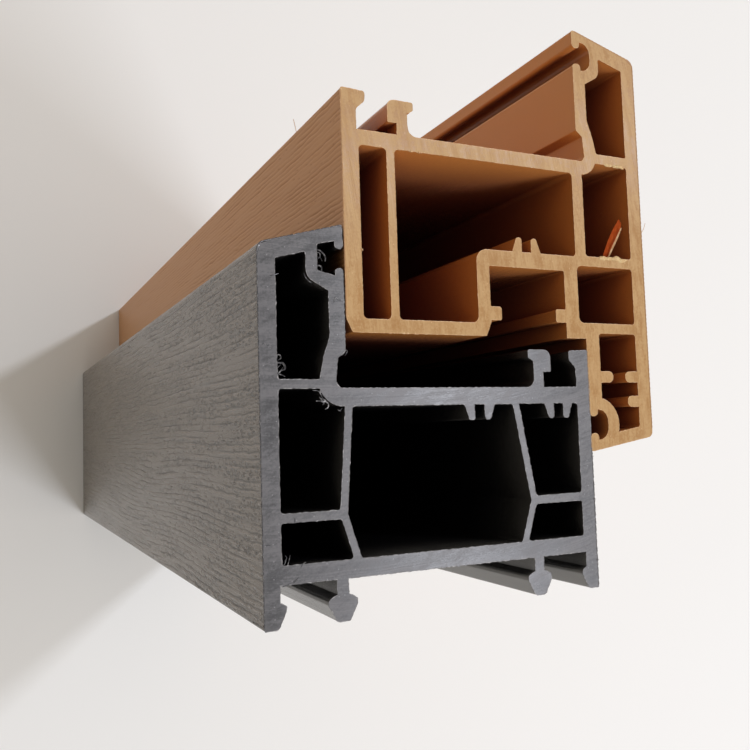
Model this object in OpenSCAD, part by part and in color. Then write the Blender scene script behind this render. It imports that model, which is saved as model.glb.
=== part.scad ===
// Corner sample of a casement window: a frame profile and the sash profile that closes
// into it, both extruded in hard plastic, sawn square and stood on one end.
// Sizes in mm. X runs from the outdoor face to the room, Y up the window, Z along the bars.

/* [Stock] */
// Length of the sawn sample
length = 230; // [100:1:400]
// Depth of each profile, front face to back face
depth = 60; // [57:0.5:68]

/* [Fit] */
// Air between the lip of the frame and the side of the sash
lip_gap = 0.4; // [0.2:0.05:0.8]
// Clear height from the rebate floor to the underside of the sash
air_gap = 8.6; // [7.8:0.1:11]

/* [Frame body] */
// Underside of the frame to its rebate floor
frame_h = 28.3; // [26:0.1:32]
// Outer walls of the frame
frame_wall = 2.7; // [2.3:0.05:3]
// Level webs of the frame
frame_web = 1.3; // [1:0.05:1.7]
// Slanted webs beside the steel chamber
slant_web = 1.15; // [0.9:0.05:1.5]
// Underside of the frame to the middle of its tie webs
tie_h = 9.45; // [8:0.05:11]
// Outer face to the knee of each slanted web
knee_in = 12.7; // [11.5:0.1:14]
// Lean of the outdoor slanted web above its knee
lean_out = 1.25; // [0.6:0.05:2]
// Lean of the room-side slanted web above its knee
lean_room = 2.9; // [2:0.05:3.6]
// Lean of both slanted webs below the knee
lean_low = 2.1; // [1:0.05:3]
// Rounding of the frame's cells
frame_r = 0.5; // [0.35:0.05:0.8]

/* [Lips] */
// Lip of the frame, front to back
lip_w = 13.65; // [12.8:0.05:14.5]
// Rise of the frame lip above the rebate floor
frame_lip = 25.1; // [23.5:0.1:28]
// Rise of the sash lip above the glazing floor
sash_lip = 24.3; // [22.5:0.1:28]
// Slope of the lip tops in degrees
lip_slope = 15; // [10:0.5:18]
// Wall on the sealing side of both lips
lip_wall = 2.5; // [2.2:0.05:2.9]
// Step back at the foot of a lip
lip_step = 1.8; // [1.3:0.05:2.2]
// Height of that step
lip_knee = 4.6; // [3.6:0.1:5.6]
// Lean of the sealing wall over the step
lip_rake = 0.5; // [0.2:0.05:0.9]
// Height over which the step runs out to the full lip
lip_run = 1; // [0.6:0.05:1.5]
// Lean of the chamber wall beside the step
hollow_rake = 0.7; // [0.3:0.05:1.1]
// Height over which that wall runs out
hollow_run = 3.2; // [2.2:0.1:4]
// Rounding of the bends in that wall
hollow_r = 1.5; // [0.8:0.05:2]
// Fillet where a floor bends up into a lip
bend_r = 1.2; // [0.8:0.05:1.6]
// Rounding of the outer top edge of a lip
lip_r = 1.6; // [1:0.05:2.2]

/* [Seal grooves] */
// Mouth of every seal groove
seal_mouth = 3.05; // [2.6:0.05:3.4]
// Nibs at the mouth on the frame
frame_nib = 1.3; // [1:0.05:1.6]
// Nibs at the mouth on the sash
sash_nib = 1.7; // [1.4:0.05:1.9]
// Depth of the cavity behind the nibs on the frame
frame_seal_d = 2.95; // [2.6:0.05:3.2]
// Depth of the cavity behind the nibs on the sash
sash_seal_d = 2.3; // [2:0.05:2.6]
// Height of the cavity behind the nibs
seal_h = 5.4; // [5:0.05:5.8]
// Height of the cavity at its back on the frame
frame_seal_back = 4.2; // [3.6:0.05:4.8]
// Height of the cavity at its back on the sash
sash_seal_back = 5; // [4.6:0.05:5.4]
// Rounding at the back of the cavity on the sash
sash_seal_r = 2.1; // [1.5:0.05:2.2]
// Wall between a seal groove and the chamber behind it
seal_wall = 1.8; // [1.5:0.05:2.2]
// Straight run of that wall below the cavity
seal_foot = 0.4; // [0.2:0.05:0.8]
// Drop of the bend under that wall
seal_bend = 1.9; // [1.4:0.05:2.4]
// Rounding of that bend
seal_r = 2; // [1.2:0.05:2.4]
// Tip of the frame lip down to the middle of its seal mouth
frame_seal_drop = 5.25; // [4.9:0.05:5.8]
// Tip of the sash lip down to the middle of its seal mouth
sash_seal_drop = 4.7; // [4.5:0.05:5.4]

/* [Bead grooves] */
// Height of the hooked wall beside a bead groove
hook_h = 6.5; // [6.1:0.05:7]
// Reach of that hook from the outer face
hook_reach = 4.1; // [3.7:0.05:4.5]
// Hooked wall of the sash
sash_hook = 2.5; // [2.2:0.05:2.9]
// Top of the hook down to its root on the wall
hook_root = 3.1; // [2.7:0.05:3.6]
// Height of the hook's nose
hook_nose = 1.5; // [1.1:0.05:1.9]
// Fall of the hook's top to its nose
hook_fall = 0.2; // [0.05:0.05:0.5]
// Rounding under the hook
hook_r = 1; // [0.5:0.05:1.3]
// Outer face to the near side of the bead leg
leg_in = 9.7; // [9.2:0.05:10.4]
// Thickness of the bead leg
leg_t = 1.9; // [1.5:0.05:2.3]
// Block on the groove side of the leg head
leg_block = 1.6; // [1.2:0.05:2]
// Height of that block
leg_block_h = 3.7; // [3.2:0.05:4.2]
// Rounding of the block's top edge
leg_r = 1.2; // [0.6:0.05:1.4]
// Nib on the far side of the leg head
leg_nib = 1.1; // [0.7:0.05:1.5]
// Height of that nib
leg_nib_h = 1.3; // [0.9:0.05:1.7]
// Slope under that nib
leg_nib_run = 0.6; // [0.3:0.05:0.9]
// Fillet at the root of the leg
leg_fillet = 1.6; // [1:0.05:2]
// Height of the frame's bead leg
frame_leg = 6.4; // [5.8:0.05:6.9]
// Height of the sash's bead leg
sash_leg = 5.7; // [5.3:0.05:6.5]

/* [Clip feet] */
// Depth of the clip feet under the frame
foot_h = 6.2; // [5.6:0.05:7.2]
// Stem of a clip foot
foot_t = 1.8; // [1.4:0.05:2.2]
// Width of the arrow head of a middle foot
foot_head = 4.6; // [3.8:0.05:5.2]
// Flat under a middle foot
foot_toe = 2; // [1.6:0.05:2.4]
// Bottom of a foot up to the widest part of its head
head_low = 2.5; // [2.1:0.05:2.9]
// Height of that widest part
head_band = 0.75; // [0.6:0.05:1.1]
// Slope from there back to the stem of a middle foot
head_run = 0.75; // [0.5:0.05:1.1]
// Rounding of the heads
foot_r = 0.55; // [0.25:0.05:0.6]
// Outer face to the middle of the nearer middle foot
foot_in = 12.2; // [10:0.1:14]
// Width of the feet at the two edges
foot_edge = 2.4; // [2:0.05:2.8]
// Flat under an edge foot
edge_toe = 2; // [1.6:0.05:2.4]
// Width of the head of an edge foot
edge_head = 3.3; // [2.9:0.05:3.7]
// Slope from that head back to the foot
edge_run = 0.5; // [0.3:0.05:0.8]

/* [Screw ports] */
// Space between the two ribs of a port
port_gap = 2; // [1.6:0.05:2.4]
// Length of the ribs
port_rib = 2.5; // [1.8:0.05:3.2]
// Rib thickness at its root
port_root = 1.9; // [1.4:0.05:2.2]
// Rib thickness at its tip
port_tip = 1; // [0.7:0.05:1.3]
// Room face to the port in the steel chamber
port_far = 22.7; // [20:0.1:26]
// Room face to the port in the side cell
port_near = 6.8; // [6.4:0.05:7.4]

/* [Sash body] */
// Underside of the sash to its glazing floor
sash_h = 32; // [30:0.1:36]
// Outer walls of the sash
sash_wall = 2.8; // [2.4:0.05:3.1]
// Glazing floor of the sash
sash_floor = 2.35; // [2:0.05:2.8]
// Bottom plate of the sash
sash_plate = 2.1; // [1.7:0.05:2.4]
// Level webs of the sash
sash_web = 1.7; // [1.3:0.05:2.1]
// Thin upright web behind the outdoor wall
thin_web = 1.35; // [1:0.05:1.8]
// Width of the narrow chamber behind the outdoor wall
drain_w = 4.9; // [4:0.1:5.6]
// Upright web between main chamber and lip
post_web = 2.2; // [1.7:0.05:2.6]
// Sealing face of the lip to the room side of that web
post_in = 0.75; // [0.4:0.05:1.1]
// Middle cross web above the underside
cross_h = 13; // [12.4:0.05:14]
// Corner cut along the outdoor bottom edge, sideways
nose_x = 1; // [0.5:0.05:1.5]
// Corner cut along the outdoor bottom edge, upwards
nose_y = 2; // [1.2:0.05:2.6]
// Rounding of the main chambers
cell_r = 0.8; // [0.5:0.05:1]
// Rounding between bottom plate and groove wall
plate_r = 1.2; // [0.8:0.05:1.6]
// Rounding over the corner of the hardware groove
roof_r = 2; // [1.4:0.05:2.4]
// Rounding of the cells behind the room face
wall_r = 0.6; // [0.4:0.05:0.9]
// Rounding of those cells beside the hardware groove
side_r = 1.1; // [0.7:0.05:1.4]

/* [Hardware groove] */
// Inside width of the hardware groove
groove_w = 15.6; // [14.5:0.1:16.5]
// Underside of the sash to the roof of the groove
groove_h = 11.85; // [11:0.05:12.5]
// Wall between groove and flange
groove_side = 4.2; // [3.8:0.05:4.6]
// Wall between groove and main chamber
groove_wall = 2.35; // [2:0.05:2.8]
// Roof plate of the groove
groove_roof = 2.65; // [2.2:0.05:3]
// Reach of the two hooks into the groove
groove_hook = 2.15; // [1.6:0.05:2.6]
// Height of the hooks above the underside
hook_rise = 2.7; // [2.3:0.05:3]
// Thickness of the hooks
hook_t = 2.2; // [1.8:0.05:2.6]
// Lean of the outdoor side of the groove's mouth
mouth_lean = 1.4; // [0.8:0.05:2]
// Upright land between that lean and the hook
mouth_land = 0.4; // [0.2:0.05:0.8]

/* [Flange] */
// Drop of the flange below the underside of the sash
flange_drop = 19.85; // [18.5:0.05:22]
// Slope of the bottom edge in degrees
flange_slope = 9.3; // [6:0.1:12]
// Wall along the bottom edge
flange_foot = 2.2; // [1.8:0.05:2.6]
// Bottom corner up to the middle of the seal mouth
flange_seal = 4.65; // [4.5:0.05:5.2]
// Round wall behind the seal groove of the flange
boss_wall = 2.4; // [2:0.05:2.8]
// Rounding of the outer bottom edge
flange_r = 1; // [0.5:0.05:1.5]
// Thickness of the fins inside the flange
fin_t = 1.9; // [1.4:0.05:2.2]
// Length of the upper fins
fin_l = 2.8; // [2:0.05:3.2]
// Length of the lower fin
fin_short = 2.5; // [1.8:0.05:2.8]
// Depth of the upper fins below the underside
fin_high = 6.8; // [5.5:0.05:7.4]
// Depth of the lower fin below the underside
fin_low = 11.2; // [10.4:0.05:12]

/* [Hidden] */
arc_steps = 6;
soft = 0.35;
sharp = 0.15;
lap = 1;
bite = 0.02;
front = [0, 0];
back = [depth, 0];
onward = [1, 1];
turned = [-1, 1];
rebate_y = foot_h + frame_h;
base_in = foot_h + frame_wall;
ceil_y = rebate_y - frame_wall;
tie_y = foot_h + tie_h;
tie_top = tie_y + frame_web / 2;
tie_low = tie_y - frame_web / 2;
sash_x = lip_w + lip_gap;
sash_y = rebate_y + air_gap;
sash_lip_w = lip_w + lip_gap;
flange_x = depth - sash_lip_w;
groove_r = flange_x - groove_side;
groove_l = groove_r - groove_w;
main_l = sash_wall + drain_w + thin_web;
post_r = flange_x + post_in;
post_l = post_r - post_web;
sash_ceil = sash_h - sash_floor;
roof_y = groove_h + groove_roof;
overall_w = sash_x + depth;
overall_h = sash_y + sash_h + sash_lip;

// Outline through corners [x, y, radius], each rounded by an arc
function unit(v) = v / norm(v);
function flat2(c) = [c[0], c[1]];
function bend(a, p, b) =
    let (u = unit(flat2(a) - flat2(p)))
    let (v = unit(flat2(b) - flat2(p)))
    let (half = acos(u * v) / 2)
    let (mid = flat2(p) + unit(u + v) * p[2] / sin(half))
    let (from = flat2(p) + u * p[2] / tan(half) - mid)
    let (to = flat2(p) + v * p[2] / tan(half) - mid)
    let (turn = 180 - 2 * half)
    [for (i = [0:arc_steps])
        mid + (sin(turn * (1 - i / arc_steps)) * from + sin(turn * i / arc_steps) * to) / sin(turn)];
function rounded(c) =
    let (n = len(c))
    [for (i = [0:n - 1])
        each (c[i][2] > 0 ? bend(c[(i + n - 1) % n], c[i], c[(i + 1) % n]) : [flat2(c[i])])];

// Corners carried to a point and turned over along X or Y where the way is -1
function placed(c, at, way) =
    let (n = len(c))
    let (flip = way[0] * way[1] < 0)
    [for (i = [0:n - 1])
        let (p = c[flip ? n - 1 - i : i])
        [at[0] + way[0] * p[0], at[1] + way[1] * p[1], p[2]]];

module outline(c, at = [0, 0], way = [1, 1]) {
    polygon(rounded(placed(c, at, way)));
}

// Height of a lip top at a distance from its outer face
function lip_top(u, w, rise) = rise - (w - u) * tan(lip_slope);
function seal_back(nib, cavity) = nib + cavity + seal_wall;

module lip_solid(w, rise, at, way) {
    outline([
        [0, -lap, 0],
        [w + bend_r, -lap, 0],
        [w + bend_r, 0, 0],
        [w - lip_step, 0, bend_r],
        [w - lip_step + lip_rake, lip_knee, soft],
        [w, lip_knee + lip_run, soft],
        [w, rise, soft],
        [0, lip_top(0, w, rise), lip_r]
    ], at, way);
}

module lip_hollow(w, rise, drop, back, wall, web, at, way) {
    side = w - lip_wall;
    step = side - lip_step;
    sill = rise - drop - seal_h / 2 - seal_foot;
    rake = wall / cos(lip_slope);
    outline([
        [wall, web, soft],
        [step, web, soft],
        [step + hollow_rake, lip_knee, hollow_r],
        [side, lip_knee + hollow_run, hollow_r],
        [side, sill - seal_bend, soft],
        [w - back, sill, seal_r],
        [w - back, lip_top(w - back, w, rise) - rake, soft],
        [wall, lip_top(wall, w, rise) - rake, soft]
    ], at, way);
}

// Groove for a push-in seal, running inwards from the middle of its mouth
module seal_groove(nib, cavity, back_h, back_r, at, way) {
    half = seal_mouth / 2;
    tip_r = nib * 0.45;
    round_r = min(back_r, cavity);
    outline([
        [-lap, -half - nib, 0],
        [-bite, -half - nib, 0],
        [-bite, -half, tip_r],
        [nib, -half, tip_r],
        [nib, -seal_h / 2, 0],
        [nib + cavity, -back_h / 2, round_r],
        [nib + cavity, back_h / 2, round_r],
        [nib, seal_h / 2, 0],
        [nib, half, tip_r],
        [-bite, half, tip_r],
        [-bite, half + nib, 0],
        [-lap, half + nib, 0]
    ], at, way);
}

// Hooked wall and bead leg either side of the groove for a snap-in bead
module bead_groove(leg_h, wall, at, way) {
    outline([
        [0, -lap, 0],
        [wall, -lap, 0],
        [wall, hook_h - hook_root, hook_r],
        [hook_reach, hook_h - hook_fall - hook_nose, hook_r],
        [hook_reach, hook_h - hook_fall, soft],
        [0, hook_h, soft]
    ], at, way);
    far = leg_in + leg_t;
    outline([
        [leg_in, -lap, 0],
        [far + leg_fillet * 2, -lap, 0],
        [far + leg_fillet * 2, 0, 0],
        [far, 0, leg_fillet],
        [far, leg_h - leg_nib_h - leg_nib_run, 0],
        [far + leg_nib, leg_h - leg_nib_h, soft],
        [far + leg_nib, leg_h, soft],
        [leg_in - leg_block, leg_h, leg_r],
        [leg_in - leg_block, leg_h - leg_block_h, sharp],
        [leg_in, leg_h - leg_block_h, 0]
    ], at, way);
}

// Two ribs that a corner screw bites between, growing along Y
module screw_port(at, up) {
    for (s = [-1, 1])
        outline([
            [port_gap / 2, -lap, 0],
            [port_gap / 2 + port_root, -lap, 0],
            [port_gap / 2 + port_root, 0, 0],
            [port_gap / 2 + port_tip, port_rib, port_tip * 0.45],
            [port_gap / 2, port_rib, port_tip * 0.45]
        ], at, [s, up]);
}

// Floor plate of a rebate and the round bend that carries it up into the lip
module floor_bend(w, plate, at, way) {
    centre = w - lip_step + bend_r;
    translate([at[0] + way[0] * centre, at[1] + bend_r])
        circle(r = bend_r + plate, $fn = 72);
    outline([
        [centre, -plate, 0],
        [depth, -plate, 0],
        [depth, lap, 0],
        [centre, lap, 0]
    ], at, way);
}

function web_x(y, lean) =
    knee_in + (y > tie_y ? lean * (y - tie_y) / (ceil_y - tie_y) : lean_low * (tie_y - y) / (tie_y - base_in));

module low_cell(at, way) {
    outline([
        [frame_wall, base_in, frame_r],
        [web_x(base_in, lean_out) - slant_web / 2, base_in, frame_r],
        [web_x(tie_low, lean_out) - slant_web / 2, tie_low, frame_r],
        [frame_wall, tie_low, frame_r]
    ], at, way);
}

module high_cell(lean, top, at, way) {
    outline([
        [frame_wall, tie_top, frame_r],
        [web_x(tie_top, lean) - slant_web / 2, tie_top, frame_r],
        [web_x(ceil_y, lean) - slant_web / 2, ceil_y, 0],
        [web_x(ceil_y, lean) - slant_web / 2, top, 0],
        [frame_wall, top, frame_r]
    ], at, way);
}

module steel_chamber() {
    half = slant_web / 2;
    outline([
        [web_x(base_in, lean_out) + half, base_in, frame_r],
        [depth - web_x(base_in, lean_room) - half, base_in, frame_r],
        [depth - knee_in - half, tie_y, frame_r],
        [depth - web_x(ceil_y, lean_room) - half, ceil_y, frame_r],
        [web_x(ceil_y, lean_out) + half, ceil_y, frame_r],
        [knee_in + half, tie_y, frame_r]
    ]);
}

module arrow_foot(x) {
    neck = head_low + head_band + head_run;
    outline([
        [-foot_toe / 2, 0, foot_r],
        [foot_toe / 2, 0, foot_r],
        [foot_head / 2, head_low, foot_r],
        [foot_head / 2, head_low + head_band, foot_r],
        [foot_t / 2, neck, 0],
        [foot_t / 2, foot_h + lap, 0],
        [-foot_t / 2, foot_h + lap, 0],
        [-foot_t / 2, neck, 0],
        [-foot_head / 2, head_low + head_band, foot_r],
        [-foot_head / 2, head_low, foot_r]
    ], [x, 0]);
}

module edge_foot(at, way) {
    outline([
        [0, 0, sharp],
        [edge_toe, 0, foot_r],
        [edge_head, head_low, foot_r],
        [edge_head, head_low + head_band, foot_r],
        [foot_edge, head_low + head_band + edge_run, 0],
        [foot_edge, foot_h + lap, 0],
        [0, foot_h + lap, 0]
    ], at, way);
}

module frame_cells() {
    low_cell(front, onward);
    low_cell(back, turned);
    difference() {
        high_cell(lean_out, rebate_y, front, onward);
        floor_bend(lip_w, frame_wall, [0, rebate_y], onward);
    }
    high_cell(lean_room, ceil_y, back, turned);
    steel_chamber();
    lip_hollow(
        lip_w, frame_lip, frame_seal_drop, seal_back(frame_nib, frame_seal_d),
        frame_wall, frame_web, [0, rebate_y], onward
    );
    seal_groove(
        frame_nib, frame_seal_d, frame_seal_back, soft,
        [lip_w, rebate_y + frame_lip - frame_seal_drop], turned
    );
}

module frame_section() {
    difference() {
        union() {
            translate([0, foot_h])
                square([depth, frame_h]);
            lip_solid(lip_w, frame_lip, [0, rebate_y], onward);
        }
        frame_cells();
    }
    bead_groove(frame_leg, frame_wall, [depth, rebate_y], turned);
    for (x = [port_far, port_near])
        screw_port([depth - x, ceil_y], -1);
    edge_foot(front, onward);
    edge_foot(back, turned);
    for (x = [foot_in, depth - foot_in])
        arrow_foot(x);
}

module hardware_groove() {
    top = hook_rise + hook_t;
    outline([
        [groove_l - mouth_lean, -lap, 0],
        [groove_r, -lap, 0],
        [groove_r, hook_rise, 0],
        [groove_r - groove_hook, hook_rise, soft],
        [groove_r - groove_hook, top, soft],
        [groove_r, top, soft],
        [groove_r, groove_h, soft],
        [groove_l, groove_h, soft],
        [groove_l, top, soft],
        [groove_l + groove_hook, top, soft],
        [groove_l + groove_hook, hook_rise, soft],
        [groove_l, hook_rise, 0],
        [groove_l, hook_rise - mouth_land, 0]
    ]);
}

module drain_chamber() {
    outline([
        [sash_wall, sash_plate, cell_r],
        [sash_wall + drain_w, sash_plate, cell_r],
        [sash_wall + drain_w, sash_ceil, cell_r],
        [sash_wall, sash_ceil, cell_r]
    ]);
}

module main_chamber() {
    outline([
        [main_l, sash_plate, cell_r],
        [groove_l - groove_wall, sash_plate, plate_r],
        [groove_l - groove_wall, roof_y, roof_r],
        [post_l, roof_y, cell_r],
        [post_l, sash_ceil, cell_r],
        [main_l, sash_ceil, cell_r]
    ]);
}

// Cells behind the room face, above and below the cross web
module wall_cells() {
    post = depth - post_r;
    side = depth - groove_r - sash_wall;
    difference() {
        outline([
            [sash_wall, cross_h + sash_web, wall_r],
            [post, cross_h + sash_web, wall_r],
            [post, sash_h, 0],
            [sash_wall, sash_h, wall_r]
        ], back, turned);
        floor_bend(sash_lip_w, sash_floor, [depth, sash_h], turned);
    }
    outline([
        [sash_wall, hook_rise, wall_r],
        [side, hook_rise, side_r],
        [side, cross_h, side_r],
        [sash_wall, cross_h, wall_r]
    ], back, turned);
}

function flange_edge(u) = (sash_lip_w - u) * tan(flange_slope) - flange_drop;

module fin(root, y, reach, way) {
    outline([
        [-lap, -fin_t / 2, 0],
        [reach, -fin_t / 2, fin_t * 0.48],
        [reach, fin_t / 2, fin_t * 0.48],
        [-lap, fin_t / 2, 0]
    ], [root, y], way);
}

module flange_cell() {
    side = sash_lip_w - sash_wall;
    roof = hook_rise - sash_web;
    difference() {
        outline([
            [sash_wall, flange_edge(sash_wall) + flange_foot, wall_r],
            [side, flange_edge(side) + flange_foot, 0],
            [side, roof, wall_r],
            [sash_wall, roof, wall_r]
        ], back, turned);
        translate([flange_x + sash_nib, flange_seal - flange_drop])
            circle(r = sash_seal_d + boss_wall, $fn = 72);
        fin(depth - side, -fin_high, fin_l, onward);
        fin(depth - sash_wall, -fin_high, fin_l, turned);
        fin(depth - sash_wall, -fin_low, fin_short, turned);
    }
}

module sash_solid() {
    outline([
        [0, nose_y, soft],
        [nose_x, 0, soft],
        [depth, 0, 0],
        [depth, sash_h, 0],
        [0, sash_h, 0]
    ]);
    lip_solid(sash_lip_w, sash_lip, [depth, sash_h], turned);
    outline([
        [0, flange_edge(0), flange_r],
        [sash_lip_w, -flange_drop, soft],
        [sash_lip_w, lap, 0],
        [0, lap, 0]
    ], back, turned);
}

module sash_cells() {
    hardware_groove();
    drain_chamber();
    main_chamber();
    wall_cells();
    flange_cell();
    lip_hollow(
        sash_lip_w, sash_lip, sash_seal_drop, seal_back(sash_nib, sash_seal_d),
        sash_wall, sash_web, [depth, sash_h], turned
    );
    for (y = [sash_h + sash_lip - sash_seal_drop, flange_seal - flange_drop])
        seal_groove(sash_nib, sash_seal_d, sash_seal_back, sash_seal_r, [flange_x, y], onward);
}

module sash_section() {
    difference() {
        sash_solid();
        sash_cells();
    }
    bead_groove(sash_leg, sash_hook, [0, sash_h], onward);
    screw_port([(groove_l + groove_r) / 2, roof_y], 1);
}

module stood_on_end() {
    translate([-overall_w / 2, -overall_h / 2, 0])
        linear_extrude(height = length)
            children();
}

module frame_profile() {
    color("dimgray")
        stood_on_end()
            frame_section();
}

module sash_profile() {
    color("peru")
        stood_on_end()
            translate([sash_x, sash_y])
                sash_section();
}

frame_profile();
sash_profile();
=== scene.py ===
"""Looks for a sawn window profile sample: a grey frame bar and a caramel sash bar, closed together."""

import math
import random

import bpy
from mathutils import Matrix, Vector, noise


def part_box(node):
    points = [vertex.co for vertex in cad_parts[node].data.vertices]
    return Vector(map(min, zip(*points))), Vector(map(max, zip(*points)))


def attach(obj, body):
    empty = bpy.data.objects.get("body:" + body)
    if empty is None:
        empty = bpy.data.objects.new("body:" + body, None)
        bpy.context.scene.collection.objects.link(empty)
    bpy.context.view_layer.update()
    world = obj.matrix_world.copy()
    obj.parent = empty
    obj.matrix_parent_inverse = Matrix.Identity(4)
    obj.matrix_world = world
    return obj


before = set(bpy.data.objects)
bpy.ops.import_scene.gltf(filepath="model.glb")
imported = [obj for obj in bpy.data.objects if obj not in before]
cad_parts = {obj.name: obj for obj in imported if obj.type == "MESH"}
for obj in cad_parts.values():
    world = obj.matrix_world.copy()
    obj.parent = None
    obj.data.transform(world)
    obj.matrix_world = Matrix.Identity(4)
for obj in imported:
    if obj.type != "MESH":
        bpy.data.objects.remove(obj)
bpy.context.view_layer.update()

MM = 0.001
FRAME_LOW, FRAME_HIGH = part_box("frame_profile")
SAWN_END = FRAME_HIGH.z / MM


def place(x, y, z):
    """A point of the section, in mm from the frame's outdoor face and foot, as a point of the scene."""
    return Vector((FRAME_LOW.x + x * MM, FRAME_LOW.y + y * MM, z * MM))


# Shader helpers


def add_node(tree, kind, sockets=None, **settings):
    made = tree.nodes.new(kind)
    for key, value in settings.items():
        setattr(made, key, value)
    for key, value in (sockets or {}).items():
        if isinstance(value, bpy.types.NodeSocket):
            tree.links.new(value, made.inputs[key])
        else:
            made.inputs[key].default_value = value
    return made


def sum_up(tree, how, a, b=0.0, c=0.0):
    return add_node(tree, "ShaderNodeMath", {0: a, 1: b, 2: c}, operation=how).outputs[0]


def vectors(tree, how, a, b):
    made = add_node(tree, "ShaderNodeVectorMath", {0: a, 1: b}, operation=how)
    return made.outputs["Value" if how == "DISTANCE" else "Vector"]


def vector_of(tree, **parts):
    return add_node(tree, "ShaderNodeCombineXYZ", parts).outputs[0]


def part_of(tree, vector, axis):
    return add_node(tree, "ShaderNodeSeparateXYZ", {0: vector}).outputs[axis]


def span(tree, value, low, high, to_low=0.0, to_high=1.0):
    """A value eased from one range to another, and held at its ends."""
    sockets = {"Value": value, "From Min": low, "From Max": high, "To Min": to_low, "To Max": to_high}
    return add_node(tree, "ShaderNodeMapRange", sockets, interpolation_type="SMOOTHSTEP").outputs["Result"]


def mixed(tree, share, a, b):
    """A colour between two, each given as three numbers or as a socket."""
    a, b = (tone if isinstance(tone, bpy.types.NodeSocket) else (*tone, 1) for tone in (a, b))
    return add_node(tree, "ShaderNodeMix", {0: share, 6: a, 7: b}, data_type="RGBA").outputs[2]


def cloud(tree, vector, detail=2.0, rough=0.5, twist=0.0):
    sockets = {"Vector": vector, "Scale": 1.0, "Detail": detail, "Roughness": rough, "Distortion": twist}
    return add_node(tree, "ShaderNodeTexNoise", sockets).outputs[0]


def stretched(tree, vector, x, y, z):
    return add_node(tree, "ShaderNodeMapping", {"Vector": vector, "Scale": (x, y, z)}).outputs[0]


def scaled(tree, vector, by):
    return stretched(tree, vector, by, by, by)


def occlusion(tree, reach, inside=False):
    node = add_node(tree, "ShaderNodeAmbientOcclusion", {"Distance": reach}, samples=6, inside=inside)
    return node.outputs["AO"]


def new_group(name, inputs, outputs):
    tree = bpy.data.node_groups.new(name, "ShaderNodeTree")
    for label, value in inputs.items():
        socket = tree.interface.new_socket(label, in_out="INPUT", socket_type="NodeSocketFloat")
        socket.default_value = value
    for label in outputs:
        tree.interface.new_socket(label, in_out="OUTPUT", socket_type="NodeSocketFloat")
    return tree, tree.nodes.new("NodeGroupInput").outputs, tree.nodes.new("NodeGroupOutput")


def use_group(tree, group, values):
    made = tree.nodes.new("ShaderNodeGroup")
    made.node_tree = group
    for key, value in values.items():
        made.inputs[key].default_value = value
    return made.outputs


# Camera and light

LENS = 39.6
LENS_AT = (-36.14, 27.2, 114.39)
LENS_AHEAD = (0.4299, 0.0732, -0.8999)
LENS_RIGHT = (0.9029, -0.0315, 0.4288)
LAMPS_AIM = (0, 0, 0.1)
DAYLIGHT = (0.96, 0.985, 1.08)
ROOM_TINT = (1.0, 0.89, 0.78, 1)
ROOM_DIM = 0.22
ROOM_BRIGHT = 1.0
PALE_WALL = (0.86, 0.85, 0.84, 1)


def add_camera():
    ahead = Vector(LENS_AHEAD).normalized()
    up = Vector(LENS_RIGHT).cross(ahead).normalized()
    turn = Matrix((ahead.cross(up), up, -ahead)).transposed()
    data = bpy.data.cameras.new("photo_camera")
    data.sensor_width = 36
    data.lens = LENS
    data.clip_start = 0.01
    camera = bpy.data.objects.new("photo_camera", data)
    x, y, above = LENS_AT
    camera.matrix_world = Matrix.Translation(place(x, y, SAWN_END + above)) @ turn.to_4x4()
    bpy.context.scene.collection.objects.link(camera)
    bpy.context.scene.camera = camera


def add_lamp(name, spot, width, height, watts):
    data = bpy.data.lights.new(name, "AREA")
    data.shape = "RECTANGLE"
    data.size = width
    data.size_y = height
    data.energy = watts
    data.color = DAYLIGHT
    lamp = bpy.data.objects.new(name, data)
    lamp.location = spot
    lamp.rotation_euler = (Vector(LAMPS_AIM) - Vector(spot)).to_track_quat("-Z", "Y").to_euler()
    bpy.context.scene.collection.objects.link(lamp)


def add_light():
    """Two windows, and a room that is brighter towards +X and shows itself as one pale tone."""
    world = bpy.data.worlds.new("soft_room")
    bpy.context.scene.world = world
    world.use_nodes = True
    room = world.node_tree
    back = room.nodes["Background"]
    back.inputs["Color"].default_value = ROOM_TINT
    way = add_node(room, "ShaderNodeTexCoord").outputs["Generated"]
    strength = span(room, part_of(room, way, "X"), -1.0, 1.0, ROOM_DIM, ROOM_BRIGHT)
    room.links.new(strength, back.inputs["Strength"])
    plain = add_node(room, "ShaderNodeBackground", {"Color": PALE_WALL, "Strength": 1.0})
    path = add_node(room, "ShaderNodeLightPath").outputs
    seen = sum_up(room, "MAXIMUM", path["Is Camera Ray"], path["Is Glossy Ray"])
    seen = sum_up(room, "MAXIMUM", seen, path["Is Transmission Ray"])
    shown = add_node(room, "ShaderNodeMixShader", {0: seen, 1: back.outputs[0], 2: plain.outputs[0]})
    room.links.new(shown.outputs[0], room.nodes["World Output"].inputs["Surface"])
    add_lamp("window", (0.7, -0.78, 1.12), 0.55, 0.3, 7.3)
    add_lamp("skylight", (0.8, 0.53, 1.5), 0.1, 0.1, 7.7)


# Effects that the finishes share

BLADE_WANDER = 0.0007
SCRATCH_PITCH = 2600.0
SMEAR_PITCH = 300
BAR_PITCH = 640
SPECK_PITCH = 1100.0
DIE_PITCH = 1700.0


def along_arcs(tree, here, radius, pitch, shift, spread):
    """Coordinates that follow the arcs of the blade, so that noise on them streaks along the cut."""
    lines = vector_of(tree, X=sum_up(tree, "MULTIPLY", radius, pitch), Z=shift)
    return vectors(tree, "ADD", lines, scaled(tree, here, spread))


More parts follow.
